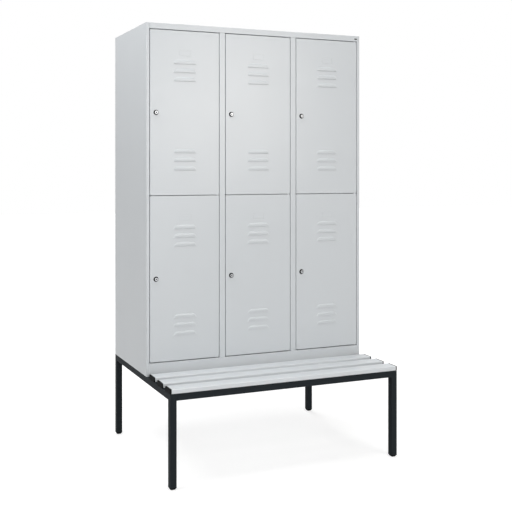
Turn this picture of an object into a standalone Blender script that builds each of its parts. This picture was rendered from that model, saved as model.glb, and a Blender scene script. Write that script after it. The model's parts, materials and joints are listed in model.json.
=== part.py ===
"""A steel locker with six doors on a bench frame with three seat slats.

Metres, +Z up. The origin is on the floor, under the middle of the whole object: X runs along the
doors, -Y faces the person on the bench, and the cabinet's back is at the far +Y side.
"""

import math

import bmesh
import bpy
from mathutils import Vector

# Overall sizes
WIDTH = 1.185
CABINET_DEPTH = 0.500
CABINET_HEIGHT = 1.680
BENCH_REACH = 0.315
FRAME_HEIGHT = 0.420
COLUMNS = 3
TIER_NAMES = ("lower", "upper")
TIERS = len(TIER_NAMES)

# Sheet metal and fits
SHEET = 0.001
FIT = 0.0003
OVERRUN = 0.002
WELD = 0.00001

# Front of the cabinet
STILE_WIDTH = 0.015
POST_WIDTH = 0.030
TOP_RAIL_HEIGHT = 0.029
PLINTH_HEIGHT = 0.062
DOOR_GAP = 0.003
LIP_DEPTH = 0.016
REAR_FLANGE = 0.015
BASE_FLANGE = 0.025

# Doors
DOOR_DEPTH = 0.016
DOOR_LIP = 0.012
DOOR_CORNER = 0.005

# Hinge pins
PIVOT_INSET = 0.010
PIVOT_DEPTH = 0.006
PIN_RADIUS = 0.003
PIN_ENTRY = 0.008
PIVOT_PLAY = 0.0005
PIVOT_DISC_RADIUS = 0.0055
PIVOT_ARM_WIDTH = 0.006

# Louvres, pressed out of the door skin and open at their lower edge
LOUVRES_PER_SET = 3
LOUVRE_WIDTH = 0.120
LOUVRE_TOP_WIDTH = 0.088
LOUVRE_EDGE_WIDTH = 0.100
LOUVRE_HEIGHT = 0.019
LOUVRE_REACH = 0.005
LOUVRE_PITCH = 0.0415
TOP_LOUVRE_DROP = 0.159
BOTTOM_LOUVRE_RISE = 0.120

# Label field, a stamped groove round a flat
LABEL_WIDTH = 0.060
LABEL_HEIGHT = 0.029
LABEL_DROP = 0.0925
LABEL_GROOVE_WIDTH = 0.0015
LABEL_GROOVE_DEPTH = 0.0004

# Locks
LOCK_INSET = 0.030
ROSETTE_RADIUS = 0.01225
ROSETTE_FACE_RADIUS = 0.0085
ROSETTE_RIM = 0.0012
ROSETTE_HEIGHT = 0.0065
BARREL_RADIUS = 0.009
BARREL_LENGTH = 0.015
NUT_RADIUS = 0.0125
NUT_THICKNESS = 0.004
CYLINDER_RADIUS = 0.0062
CYLINDER_PROUD = 0.0008
KEYWAY_WIDTH = 0.0018
KEYWAY_HEIGHT = 0.0080
KEYWAY_DEPTH = 0.006
CAM_LENGTH = 0.039
CAM_WIDTH = 0.014
CAM_THICKNESS = 0.002
CAM_CLEARANCE = 0.0015

# Inside the compartments
SHELF_CLEARANCE = 0.0025
SHELF_EDGE = 0.020
COAT_RAIL_RADIUS = 0.008
COAT_RAIL_WALL = 0.001
COAT_RAIL_DROP = 0.060
COAT_RAIL_FLANGE_RADIUS = 0.016
COAT_RAIL_FLANGE = 0.002
HOOK_PLAY = 0.0006
HOOK_EYE_WALL = 0.0025
HOOK_WIDTH = 0.006
HOOK_STEM = 0.028
HOOK_STEM_WIDTH = 0.004
HOOK_ARM_RADIUS = 0.014
HOOK_ARM_THICKNESS = 0.004

# Bench frame
TUBE = 0.030
TUBE_WALL = 0.002
TUBE_CORNER = 0.0025
FOOT_HEIGHT = 0.010
FOOT_EDGE = 0.004
FOOT_SPIGOT = 0.020

# Seat slats
SLATS = 3
SLAT_WIDTH = 0.065
SLAT_THICKNESS = 0.022
SLAT_WALL = 0.0025
SLAT_CORNER = 0.004
CAP_THICKNESS = 0.003
CAP_SPIGOT = 0.012

# Blank plate on the top rail
PLATE_WIDTH = 0.0150
PLATE_HEIGHT = 0.006
PLATE_THICKNESS = 0.0008
PLATE_INSET = 0.0232
PLATE_DROP = 0.0162

# Facets of the round pieces, and the fold angle in degrees from which an edge is sharp
ROUND_SIDES = 24
PIN_SIDES = 16
NUT_SIDES = 6
CORNER_STEPS = 3
HOOK_STEPS = 8
SHARP_ANGLE = 30

# Planes that the pieces share
TOTAL_DEPTH = CABINET_DEPTH + BENCH_REACH
FRAME_FRONT = -TOTAL_DEPTH / 2
FRAME_BACK = TOTAL_DEPTH / 2
FRONT = FRAME_FRONT + BENCH_REACH
BACK = FRAME_BACK
BASE = FRAME_HEIGHT + FIT
ROOF = BASE + CABINET_HEIGHT
LEFT = -WIDTH / 2
RIGHT = WIDTH / 2
RAIL_UNDERSIDE = ROOF - TOP_RAIL_HEIGHT
PLINTH_TOP = BASE + PLINTH_HEIGHT
ROOF_UNDERSIDE = ROOF - SHEET
BACK_PANEL_FACE = BACK - SHEET - FIT - SHEET
LIP_BACK = FRONT + LIP_DEPTH

# Doors and columns
STILES_AND_GAPS = 2 * STILE_WIDTH + (COLUMNS - 1) * POST_WIDTH + 2 * COLUMNS * DOOR_GAP
DOOR_WIDTH = (WIDTH - STILES_AND_GAPS) / COLUMNS
RAILS_AND_GAPS = TOP_RAIL_HEIGHT + PLINTH_HEIGHT + (TIERS + 1) * DOOR_GAP
DOOR_HEIGHT = (CABINET_HEIGHT - RAILS_AND_GAPS) / TIERS
COLUMN_PITCH = DOOR_WIDTH + 2 * DOOR_GAP + POST_WIDTH
TIER_PITCH = DOOR_HEIGHT + DOOR_GAP
PIVOT_Y = FRONT + PIVOT_DEPTH
DOOR_SWEEP = PIVOT_DEPTH + math.hypot(PIVOT_INSET, DOOR_DEPTH - PIVOT_DEPTH)
PIN_REACH = DOOR_GAP + SHEET + PIN_ENTRY
CAM_FRONT = max(LIP_DEPTH, DOOR_DEPTH) + CAM_CLEARANCE

CABINET_GREY = ("cabinet_grey", (0.60, 0.63, 0.64), 0.45, 0.0)
SLAT_GREY = ("slat_grey", (0.66, 0.69, 0.70), 0.40, 0.0)
FRAME_ANTHRACITE = ("frame_anthracite", (0.026, 0.031, 0.035), 0.45, 0.0)
BLACK_PLASTIC = ("black_plastic", (0.012, 0.012, 0.013), 0.55, 0.0)
CHROME = ("chrome", (0.75, 0.76, 0.78), 0.15, 1.0)
ZINC = ("zinc", (0.55, 0.56, 0.57), 0.35, 1.0)


def clear_scene():
    for item in list(bpy.data.objects):
        bpy.data.objects.remove(item, do_unlink=True)


def material(look):
    """The material of that name, made once."""
    name, colour, roughness, metallic = look
    made = bpy.data.materials.get(name) or bpy.data.materials.new(name)
    made.use_nodes = True
    shader = made.node_tree.nodes["Principled BSDF"]
    shader.inputs["Base Color"].default_value = (*colour, 1.0)
    shader.inputs["Roughness"].default_value = roughness
    shader.inputs["Metallic"].default_value = metallic
    return made


def place(name, mesh, look=None, at=(0, 0, 0), parent=None):
    """An object with this mesh, at a place in the world."""
    item = bpy.data.objects.new(name, mesh)
    bpy.context.scene.collection.objects.link(item)
    item.location = at
    if parent:
        item.parent = parent
        item.location = Vector(at) - parent.location
    if look and not mesh.materials:
        mesh.materials.append(material(look))
    return item


def mesh_of(name, work):
    """The bmesh as a mesh with its faces pointing out."""
    bmesh.ops.recalc_face_normals(work, faces=work.faces)
    mesh = bpy.data.meshes.new(name)
    work.to_mesh(mesh)
    work.free()
    return mesh


def block(low, high):
    """A box between two opposite corners."""
    work = bmesh.new()
    bmesh.ops.create_cube(work, size=1)
    for corner in work.verts:
        corner.co = [high[axis] if corner.co[axis] > 0 else low[axis] for axis in range(3)]
    return place("block", mesh_of("block", work))


def prism(outline, along, start, end):
    """An outline in the plane square to an axis, drawn out from start to end along that axis."""
    lay = {
        "X": lambda a, b, depth: (depth, a, b),
        "Y": lambda a, b, depth: (a, depth, b),
        "Z": lambda a, b, depth: (a, b, depth),
    }[along]
    work = bmesh.new()
    face = work.faces.new([work.verts.new(lay(a, b, start)) for a, b in outline])
    moved = bmesh.ops.extrude_face_region(work, geom=[face])["geom"]
    drawn = [item for item in moved if isinstance(item, bmesh.types.BMVert)]
    bmesh.ops.translate(work, vec=lay(0, 0, end - start), verts=drawn)
    return place("prism", mesh_of("prism", work))


def arc(centre, radius, first, last, steps):
    """Points on an arc between two angles in degrees."""
    turns = [math.radians(first + (last - first) * step / steps) for step in range(steps + 1)]
    return [(centre[0] + radius * math.cos(t), centre[1] + radius * math.sin(t)) for t in turns]


def circle(centre, radius, sides):
    return arc(centre, radius, 0, 360, sides)[:-1]


def rounded_rectangle(low, high, radius):
    """A rectangle between two corners with its own corners rounded."""
    centres = (
        (high[0] - radius, high[1] - radius),
        (low[0] + radius, high[1] - radius),
        (low[0] + radius, low[1] + radius),
        (high[0] - radius, low[1] + radius),
    )
    points = []
    for quarter, centre in enumerate(centres):
        points += arc(centre, radius, 90 * quarter, 90 * (quarter + 1), CORNER_STEPS)
    return points


def turned(profile, sides):
    """A profile of (radius, y) points turned about the Y axis. It closes on the axis or on itself."""
    work = bmesh.new()
    corners = [work.verts.new((radius, along, 0)) for radius, along in profile]
    edges = [work.edges.new(pair) for pair in zip(corners, corners[1:])]
    if profile[0][0] > 0:
        edges.append(work.edges.new((corners[-1], corners[0])))
    bmesh.ops.spin(
        work,
        geom=corners + edges,
        cent=(0, 0, 0),
        axis=(0, 1, 0),
        angle=math.tau,
        steps=sides,
        use_merge=True,
    )
    bmesh.ops.remove_doubles(work, verts=work.verts, dist=WELD)
    return place("turned", mesh_of("turned", work))


def built(name, parts, cuts=()):
    """One mesh: the union of the parts, less the cuts. The helpers are removed."""
    base, *others = parts
    for operation, helpers in (("UNION", others), ("DIFFERENCE", cuts)):
        for helper in helpers:
            modifier = base.modifiers.new(operation, "BOOLEAN")
            modifier.operation = operation
            modifier.object = helper
    graph = bpy.context.evaluated_depsgraph_get()
    mesh = bpy.data.meshes.new_from_object(base.evaluated_get(graph))
    mesh.name = name
    for helper in (*parts, *cuts):
        bpy.data.objects.remove(helper, do_unlink=True)
    mesh.shade_smooth()
    mesh.set_sharp_from_angle(angle=math.radians(SHARP_ANGLE))
    return mesh


def door_left(column):
    return LEFT + STILE_WIDTH + DOOR_GAP + column * COLUMN_PITCH


def door_base(tier):
    """The lower edge of a tier's doors; tier 0 is the lower one."""
    return PLINTH_TOP + DOOR_GAP + tier * TIER_PITCH


def post_middle(index):
    return door_left(index) + DOOR_WIDTH + DOOR_GAP + POST_WIDTH / 2


def pivot_x(column):
    return door_left(column) + DOOR_WIDTH - PIVOT_INSET


def shelf_top():
    """The height of the middle gap's centre line, where the shelf's upper face lies."""
    return door_base(1) - DOOR_GAP / 2


def walls(column):
    """The inner faces of the sheets at the left and the right of a column."""
    left = LEFT + SHEET if column == 0 else post_middle(column - 1) + SHEET / 2
    right = RIGHT - SHEET if column == COLUMNS - 1 else post_middle(column) - SHEET / 2
    return left, right


def compartment(column, tier):
    """The lower and upper corners of the space between a compartment's sheets."""
    left, right = walls(column)
    low = PLINTH_TOP if tier == 0 else shelf_top()
    high = shelf_top() - SHEET if tier == 0 else ROOF_UNDERSIDE
    return (left, LIP_BACK, low), (right, BACK_PANEL_FACE, high)


def middle_pivot(column):
    """The plate, disc and pin between a column's two doors, reaching from the sheet at its right."""
    x = pivot_x(column)
    low = shelf_top() - DOOR_GAP / 2 + PIVOT_PLAY
    high = shelf_top() + DOOR_GAP / 2 - PIVOT_PLAY
    lip = x + PIVOT_INSET + DOOR_GAP
    pin_low = shelf_top() + DOOR_GAP / 2 - PIN_REACH
    pin_high = shelf_top() - DOOR_GAP / 2 + PIN_REACH
    return [
        block((x, PIVOT_Y, low), (lip + SHEET / 2, PIVOT_Y + PIVOT_ARM_WIDTH, high)),
        prism(circle((x, PIVOT_Y), PIVOT_DISC_RADIUS, ROUND_SIDES), "Z", low, high),
        prism(circle((x, PIVOT_Y), PIN_RADIUS, PIN_SIDES), "Z", pin_low, pin_high),
    ]


def side_panel(side):
    """The left (-1) or right (+1) side: web, front stile with its lip, rear and base flanges."""
    outer = side * WIDTH / 2

    def across(first, second):
        ends = (outer - side * first, outer - side * second)
        return min(ends), max(ends)

    web_low, web_high = across(0, SHEET)
    stile_low, stile_high = across(0, STILE_WIDTH)
    lip_low, lip_high = across(STILE_WIDTH - SHEET, STILE_WIDTH)
    flange_low, flange_high = across(0, REAR_FLANGE)
    base_low, base_high = across(0, BASE_FLANGE)
    base_front = FRONT + BASE_FLANGE + FIT
    under_roof = ROOF_UNDERSIDE - FIT
    parts = [
        block((web_low, FRONT, BASE), (web_high, BACK, ROOF)),
        block((stile_low, FRONT, BASE), (stile_high, FRONT + SHEET, ROOF)),
        block((lip_low, FRONT, BASE), (lip_high, LIP_BACK, under_roof)),
        block((flange_low, BACK - SHEET, BASE), (flange_high, BACK, under_roof)),
        block((base_low, base_front, BASE), (base_high, BACK_PANEL_FACE - FIT, BASE + SHEET)),
    ]
    if side > 0:
        parts += middle_pivot(COLUMNS - 1)
    return built("side_panel", parts)


def back_panel():
    low = (LEFT + SHEET + FIT, BACK_PANEL_FACE, BASE)
    high = (RIGHT - SHEET - FIT, BACK_PANEL_FACE + SHEET, ROOF_UNDERSIDE - FIT)
    return built("back_panel", [block(low, high)])


def rail_pins(lip, far_end):
    """The hinge pins on a rail, from the middle of its lip to their far end."""
    low, high = sorted((lip, far_end))
    return [
        prism(circle((pivot_x(column), PIVOT_Y), PIN_RADIUS, PIN_SIDES), "Z", low, high)
        for column in range(COLUMNS)
    ]


def roof_panel():
    """The roof with the top rail folded down at its front and a lip folded back under the rail."""
    left, right = LEFT + STILE_WIDTH + FIT, RIGHT - STILE_WIDTH - FIT
    lip_top = RAIL_UNDERSIDE + SHEET
    sheet_low = (LEFT + SHEET + FIT, FRONT + SHEET + FIT, ROOF_UNDERSIDE)
    sheet_high = (RIGHT - SHEET - FIT, BACK - SHEET - FIT, ROOF)
    parts = [
        block(sheet_low, sheet_high),
        block((left, FRONT, ROOF_UNDERSIDE), (right, LIP_BACK, ROOF)),
        block((left, FRONT, RAIL_UNDERSIDE), (right, FRONT + SHEET, ROOF)),
        block((left, FRONT, RAIL_UNDERSIDE), (right, LIP_BACK, lip_top)),
    ]
    pins = rail_pins(RAIL_UNDERSIDE + SHEET / 2, RAIL_UNDERSIDE - PIN_REACH)
    return built("roof_panel", parts + pins)


def floor_panel():
    """The cabinet floor with the plinth folded down at its front and a base flange folded back."""
    left, right = LEFT + STILE_WIDTH + FIT, RIGHT - STILE_WIDTH - FIT
    underside = PLINTH_TOP - SHEET
    sheet_low = (LEFT + SHEET + FIT, LIP_BACK + FIT, underside)
    sheet_high = (RIGHT - SHEET - FIT, BACK_PANEL_FACE - FIT, PLINTH_TOP)
    parts = [
        block(sheet_low, sheet_high),
        block((left, FRONT, underside), (right, LIP_BACK + REAR_FLANGE, PLINTH_TOP)),
        block((left, FRONT, BASE), (right, FRONT + SHEET, PLINTH_TOP)),
        block((left, FRONT, BASE), (right, FRONT + BASE_FLANGE, BASE + SHEET)),
    ]
    pins = rail_pins(PLINTH_TOP - SHEET / 2, PLINTH_TOP + PIN_REACH)
    return built("floor_panel", parts + pins)


def partition(index):
    """The sheet between two columns, with the front post folded from it and one middle pivot."""
    middle = post_middle(index)
    left, right = middle - POST_WIDTH / 2, middle + POST_WIDTH / 2
    low, high = PLINTH_TOP + FIT, RAIL_UNDERSIDE - FIT
    web_left, web_right = middle - SHEET / 2, middle + SHEET / 2
    web_front = LIP_BACK + FIT
    parts = [
        block((left, FRONT, low), (right, FRONT + SHEET, high)),
        block((left, FRONT, low), (left + SHEET, LIP_BACK, high)),
        block((right - SHEET, FRONT, low), (right, LIP_BACK, high)),
        block((web_left, FRONT, low), (web_right, web_front + REAR_FLANGE, high)),
        block(
            (web_left, web_front, low),
            (web_right, BACK_PANEL_FACE - FIT, ROOF_UNDERSIDE - FIT),
        ),
    ]
    return built("partition", parts + middle_pivot(index))


def shelf(column):
    """The tray between a column's two compartments, with its edges folded down."""
    left, right = walls(column)
    front = FRONT + DOOR_SWEEP + SHELF_CLEARANCE
    low = (left + FIT, front, shelf_top() - SHELF_EDGE)
    high = (right - FIT, BACK_PANEL_FACE - FIT, shelf_top())
    hollow_low = (low[0] + SHEET, low[1] + SHEET, low[2] - OVERRUN)
    hollow_high = (high[0] - SHEET, high[1] - SHEET, high[2] - SHEET)
    return built("shelf", [block(low, high)], [block(hollow_low, hollow_high)])


def wedge(edge_z, skin_y, reach_y):
    """A louvre's hood: a trapezoid on the door, its lower edge reaching out from the skin."""
    base, top, edge = LOUVRE_WIDTH / 2, LOUVRE_TOP_WIDTH / 2, LOUVRE_EDGE_WIDTH / 2
    middle = PIVOT_INSET - DOOR_WIDTH / 2
    head_z = edge_z + LOUVRE_HEIGHT
    points = [
        (middle - base, skin_y, edge_z),
        (middle - top, skin_y, head_z),
        (middle + top, skin_y, head_z),
        (middle + base, skin_y, edge_z),
        (middle - edge, reach_y, edge_z),
        (middle + edge, reach_y, edge_z),
    ]
    faces = [(0, 1, 2, 3), (0, 3, 5, 4), (1, 4, 5, 2), (0, 4, 1), (3, 2, 5)]
    work = bmesh.new()
    corners = [work.verts.new(point) for point in points]
    for face in faces:
        work.faces.new([corners[index] for index in face])
    return place("wedge", mesh_of("wedge", work))


def louvre_heights():
    """The louvres' lower edges, measured up from the door's lower edge."""
    for index in range(LOUVRES_PER_SET):
        yield DOOR_HEIGHT - TOP_LOUVRE_DROP - index * LOUVRE_PITCH
        yield BOTTOM_LOUVRE_RISE + index * LOUVRE_PITCH


def door():
    """A door pan. Its origin is on the hinge axis, at the height of its lower edge."""
    front, back = -PIVOT_DEPTH, DOOR_DEPTH - PIVOT_DEPTH
    left, right = PIVOT_INSET - DOOR_WIDTH, PIVOT_INSET
    outline = rounded_rectangle((left, 0), (right, DOOR_HEIGHT), DOOR_CORNER)
    pan = prism(outline, "Y", front, back)
    inside = front + SHEET
    cuts = [
        block((left + SHEET, inside, SHEET), (right - SHEET, back - SHEET, DOOR_HEIGHT - SHEET)),
        block(
            (left + DOOR_LIP, inside, DOOR_LIP),
            (right - DOOR_LIP, back + OVERRUN, DOOR_HEIGHT - DOOR_LIP),
        ),
    ]
    hoods = []
    for height in louvre_heights():
        hoods.append(wedge(height, front + SHEET / 2, front - LOUVRE_REACH))
        cuts.append(wedge(height - FIT, inside + OVERRUN, front - LOUVRE_REACH + SHEET))
    lock_hole = circle((left + LOCK_INSET, DOOR_HEIGHT / 2), BARREL_RADIUS + FIT, ROUND_SIDES)
    cuts.append(prism(lock_hole, "Y", front - OVERRUN, inside + OVERRUN))
    pin_hole = circle((0, 0), PIN_RADIUS + FIT, PIN_SIDES)
    cuts.append(prism(pin_hole, "Z", -OVERRUN, DOOR_LIP))
    cuts.append(prism(pin_hole, "Z", DOOR_HEIGHT - DOOR_LIP, DOOR_HEIGHT + OVERRUN))
    cuts.append(label_groove(front))
    return built("door", [pan, *hoods], cuts)


def label_groove(front):
    """The stamped groove round the label field, as a cutter."""
    middle = PIVOT_INSET - DOOR_WIDTH / 2
    top = DOOR_HEIGHT - LABEL_DROP
    low, high = (middle - LABEL_WIDTH / 2, top - LABEL_HEIGHT), (middle + LABEL_WIDTH / 2, top)
    border, bottom = LABEL_GROOVE_WIDTH, front + LABEL_GROOVE_DEPTH
    outer = block((low[0], front - OVERRUN, low[1]), (high[0], bottom, high[1]))
    island = block(
        (low[0] + border, front - OVERRUN - border, low[1] + border),
        (high[0] - border, bottom + border, high[1] - border),
    )
    return place("groove", built("groove", [outer], [island]))


def lock_body():
    """The rosette, barrel and nut in the door. Its origin is on the lock's axis, at the door skin."""
    bore = CYLINDER_RADIUS + FIT
    nut_front = SHEET + FIT
    profile = [
        (bore, -ROSETTE_HEIGHT),
        (ROSETTE_FACE_RADIUS, -ROSETTE_HEIGHT),
        (ROSETTE_RADIUS, -ROSETTE_RIM),
        (ROSETTE_RADIUS, -FIT),
        (BARREL_RADIUS, -FIT),
        (BARREL_RADIUS, BARREL_LENGTH),
        (bore, BARREL_LENGTH),
    ]
    nut_outline = circle((0, 0), NUT_RADIUS, NUT_SIDES)
    nut = prism(nut_outline, "Y", nut_front, nut_front + NUT_THICKNESS)
    through = prism(circle((0, 0), (bore + BARREL_RADIUS) / 2, ROUND_SIDES), "Y", 0, BARREL_LENGTH)
    ring = place("nut", built("nut", [nut], [through]))
    return built("lock_body", [turned(profile, ROUND_SIDES), ring])


def lock_cylinder():
    """The turning cylinder with its cam hanging down. Its origin is on its axis, at the door skin."""
    face = -ROSETTE_HEIGHT - CYLINDER_PROUD
    profile = [
        (0, face),
        (CYLINDER_RADIUS, face),
        (CYLINDER_RADIUS, CAM_FRONT + CAM_THICKNESS),
        (0, CAM_FRONT + CAM_THICKNESS),
    ]
    half = CAM_WIDTH / 2
    cam_outline = [(-half, 0), (-half, -CAM_LENGTH), (half, -CAM_LENGTH), (half, 0)]
    cam_outline += arc((0, 0), half, 0, 180, 2 * CORNER_STEPS)[1:-1]
    cam = prism(cam_outline, "Y", CAM_FRONT, CAM_FRONT + CAM_THICKNESS)
    keyway = block(
        (-KEYWAY_WIDTH / 2, face - OVERRUN, -KEYWAY_HEIGHT / 2),
        (KEYWAY_WIDTH / 2, face + KEYWAY_DEPTH, KEYWAY_HEIGHT / 2),
    )
    return built("lock_cylinder", [turned(profile, ROUND_SIDES), cam], [keyway])


def coat_rail(column):
    """A tube across a column with a flange at each end. Its origin is on its axis, mid-column."""
    left, right = walls(column)
    half = (right - left) / 2 - FIT
    tube = prism(circle((0, 0), COAT_RAIL_RADIUS, PIN_SIDES), "X", -half, half)
    flange = circle((0, 0), COAT_RAIL_FLANGE_RADIUS, PIN_SIDES)
    flanges = [
        prism(flange, "X", -half, -half + COAT_RAIL_FLANGE),
        prism(flange, "X", half - COAT_RAIL_FLANGE, half),
    ]
    inner = COAT_RAIL_RADIUS - COAT_RAIL_WALL
    bore = prism(circle((0, 0), inner, PIN_SIDES), "X", -half - OVERRUN, half + OVERRUN)
    return built("coat_rail", [tube, *flanges], [bore])


def coat_hook():
    """A double hook with an eye round the rail. Its origin is on the rail's axis."""
    half = HOOK_WIDTH / 2
    eye = COAT_RAIL_RADIUS + HOOK_PLAY
    outer = eye + HOOK_EYE_WALL
    stem_low = -outer - HOOK_STEM
    arms = (0, stem_low + HOOK_ARM_RADIUS)
    outline = arc(arms, HOOK_ARM_RADIUS, 180, 360, HOOK_STEPS)
    outline += arc(arms, HOOK_ARM_RADIUS - HOOK_ARM_THICKNESS, 360, 180, HOOK_STEPS)
    stem = HOOK_STEM_WIDTH / 2
    parts = [
        prism(circle((0, 0), outer, PIN_SIDES), "X", -half, half),
        block((-half, -stem, stem_low + HOOK_ARM_THICKNESS / 2), (half, stem, -eye)),
        prism(outline, "X", -half, half),
    ]
    hole = prism(circle((0, 0), eye, PIN_SIDES), "X", -half - OVERRUN, half + OVERRUN)
    return built("coat_hook", parts, [hole])


def tube_outline(low, high):
    return rounded_rectangle(low, high, TUBE_CORNER)


def side_frame(side):
    """A front leg, a top rail and a rear leg, welded from one size of tube, open at the floor."""
    outer = side * WIDTH / 2
    low_x, high_x = sorted((outer, outer - side * TUBE))
    foot = FOOT_HEIGHT + FIT
    front_leg = (FRAME_FRONT, FRAME_FRONT + TUBE)
    rear_leg = (FRAME_BACK - TUBE, FRAME_BACK)
    rail = tube_outline((low_x, FRAME_HEIGHT - TUBE), (high_x, FRAME_HEIGHT))
    parts = [prism(rail, "Y", FRAME_FRONT, FRAME_BACK)]
    cuts = []
    bore_low, bore_high = low_x + TUBE_WALL, high_x - TUBE_WALL
    for leg_low, leg_high in (front_leg, rear_leg):
        leg = tube_outline((low_x, leg_low), (high_x, leg_high))
        parts.append(prism(leg, "Z", foot, FRAME_HEIGHT - TUBE / 2))
        cuts.append(
            block(
                (bore_low, leg_low + TUBE_WALL, foot - OVERRUN),
                (bore_high, leg_high - TUBE_WALL, FRAME_HEIGHT - TUBE_WALL),
            )
        )
    cuts.append(
        block(
            (bore_low, FRAME_FRONT + TUBE_WALL, FRAME_HEIGHT - TUBE + TUBE_WALL),
            (bore_high, FRAME_BACK - TUBE_WALL, FRAME_HEIGHT - TUBE_WALL),
        )
    )
    return built("side_frame", parts, cuts)


def cross_tube(front):
    """A tube between the side frames, its front face at the given place."""
    left, right = LEFT + TUBE + FIT, RIGHT - TUBE - FIT
    outline = tube_outline((front, FRAME_HEIGHT - TUBE), (front + TUBE, FRAME_HEIGHT))
    bore = block(
        (left - OVERRUN, front + TUBE_WALL, FRAME_HEIGHT - TUBE + TUBE_WALL),
        (right + OVERRUN, front + TUBE - TUBE_WALL, FRAME_HEIGHT - TUBE_WALL),
    )
    return built("cross_tube", [prism(outline, "X", left, right)], [bore])


def foot():
    """A glide with a spigot in the leg. Its origin is on the floor, in the middle of the leg."""
    half = TUBE / 2
    sole = half - FOOT_EDGE
    spigot = half - TUBE_WALL - FIT
    work = bmesh.new()
    rings = []
    for reach, height in ((sole, 0), (half, FOOT_EDGE), (half, FOOT_HEIGHT)):
        outline = rounded_rectangle((-reach, -reach), (reach, reach), TUBE_CORNER)
        rings.append([work.verts.new((x, y, height)) for x, y in outline])
    work.faces.new(rings[0])
    work.faces.new(rings[-1])
    for lower, upper in zip(rings, rings[1:]):
        for index in range(len(lower)):
            after = (index + 1) % len(lower)
            work.faces.new((lower[index], lower[after], upper[after], upper[index]))
    base = place("base", mesh_of("base", work))
    plug = block((-spigot, -spigot, FOOT_EDGE), (spigot, spigot, FOOT_HEIGHT + FOOT_SPIGOT))
    return built("foot", [base, plug])


def slat():
    """A hollow plastic profile. Its origin is at mid-length, on its underside, at its front edge."""
    half = WIDTH / 2 - CAP_THICKNESS - FIT
    outline = rounded_rectangle((0, 0), (SLAT_WIDTH, SLAT_THICKNESS), SLAT_CORNER)
    bore = block(
        (-half - OVERRUN, SLAT_WALL, SLAT_WALL),
        (half + OVERRUN, SLAT_WIDTH - SLAT_WALL, SLAT_THICKNESS - SLAT_WALL),
    )
    return built("slat", [prism(outline, "X", -half, half)], [bore])


def slat_cap(side):
    """The cap on the left (-1) or right (+1) slat end, with a spigot in the slat's hollow."""
    outer = side * WIDTH / 2
    inner = outer - side * CAP_THICKNESS
    outline = rounded_rectangle((0, 0), (SLAT_WIDTH, SLAT_THICKNESS), SLAT_CORNER)
    border = SLAT_WALL + FIT
    tip = inner - side * CAP_SPIGOT
    root = inner + side * CAP_THICKNESS / 2
    spigot = block(
        (min(tip, root), border, border),
        (max(tip, root), SLAT_WIDTH - border, SLAT_THICKNESS - border),
    )
    plate = prism(outline, "X", min(outer, inner), max(outer, inner))
    return built("slat_cap", [plate, spigot])


def blank_plate():
    x, z = RIGHT - PLATE_INSET, ROOF - PLATE_DROP
    low = (x - PLATE_WIDTH / 2, FRONT - FIT - PLATE_THICKNESS, z - PLATE_HEIGHT / 2)
    high = (x + PLATE_WIDTH / 2, FRONT - FIT, z + PLATE_HEIGHT / 2)
    return built("blank_plate", [block(low, high)])


def build_cabinet():
    place("left_side_panel", side_panel(-1), CABINET_GREY)
    place("right_side_panel", side_panel(1), CABINET_GREY)
    place("back_panel", back_panel(), CABINET_GREY)
    place("roof_panel", roof_panel(), CABINET_GREY)
    place("floor_panel", floor_panel(), CABINET_GREY)
    place("blank_plate", blank_plate(), BLACK_PLASTIC)
    for index in range(COLUMNS - 1):
        place(f"partition_{index + 1}", partition(index), CABINET_GREY)
    for column in range(COLUMNS):
        place(f"shelf_{column + 1}", shelf(column), CABINET_GREY)


def build_doors():
    door_mesh, body_mesh, cylinder_mesh = door(), lock_body(), lock_cylinder()
    for tier, tier_name in enumerate(TIER_NAMES):
        for column in range(COLUMNS):
            label = f"{tier_name}_{column + 1}"
            hinge = (pivot_x(column), PIVOT_Y, door_base(tier))
            lock = (door_left(column) + LOCK_INSET, FRONT, door_base(tier) + DOOR_HEIGHT / 2)
            leaf = place(f"door_{label}", door_mesh, CABINET_GREY, hinge)
            place(f"lock_body_{label}", body_mesh, BLACK_PLASTIC, lock, leaf)
            place(f"lock_cylinder_{label}", cylinder_mesh, CHROME, lock, leaf)


def build_coat_rails():
    hook_mesh = coat_hook()
    for tier, tier_name in enumerate(TIER_NAMES):
        for column in range(COLUMNS):
            low, high = compartment(column, tier)
            at = ((low[0] + high[0]) / 2, (low[1] + high[1]) / 2, high[2] - COAT_RAIL_DROP)
            rail = place(f"coat_rail_{tier_name}_{column + 1}", coat_rail(column), ZINC, at)
            place(f"coat_hook_{tier_name}_{column + 1}", hook_mesh, CHROME, at, rail)


def build_frame():
    place("left_side_frame", side_frame(-1), FRAME_ANTHRACITE)
    place("right_side_frame", side_frame(1), FRAME_ANTHRACITE)
    place("front_rail", cross_tube(FRAME_FRONT), FRAME_ANTHRACITE)
    place("cross_rail", cross_tube(FRONT), FRAME_ANTHRACITE)
    place("rear_rail", cross_tube(FRAME_BACK - TUBE), FRAME_ANTHRACITE)
    foot_mesh = foot()
    inset = TUBE / 2
    for side_name, x in (("left", LEFT + inset), ("right", RIGHT - inset)):
        for end_name, y in (("front", FRAME_FRONT + inset), ("rear", FRAME_BACK - inset)):
            place(f"foot_{end_name}_{side_name}", foot_mesh, BLACK_PLASTIC, (x, y, 0))


def build_seat():
    slat_mesh, left_mesh, right_mesh = slat(), slat_cap(-1), slat_cap(1)
    pitch = BENCH_REACH / SLATS
    for index in range(SLATS):
        at = (0, FRAME_FRONT + index * pitch, FRAME_HEIGHT + FIT)
        bar = place(f"slat_{index + 1}", slat_mesh, SLAT_GREY, at)
        place(f"slat_cap_left_{index + 1}", left_mesh, BLACK_PLASTIC, at, bar)
        place(f"slat_cap_right_{index + 1}", right_mesh, BLACK_PLASTIC, at, bar)


def main():
    clear_scene()
    build_cabinet()
    build_doors()
    build_coat_rails()
    build_frame()
    build_seat()


main()
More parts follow.
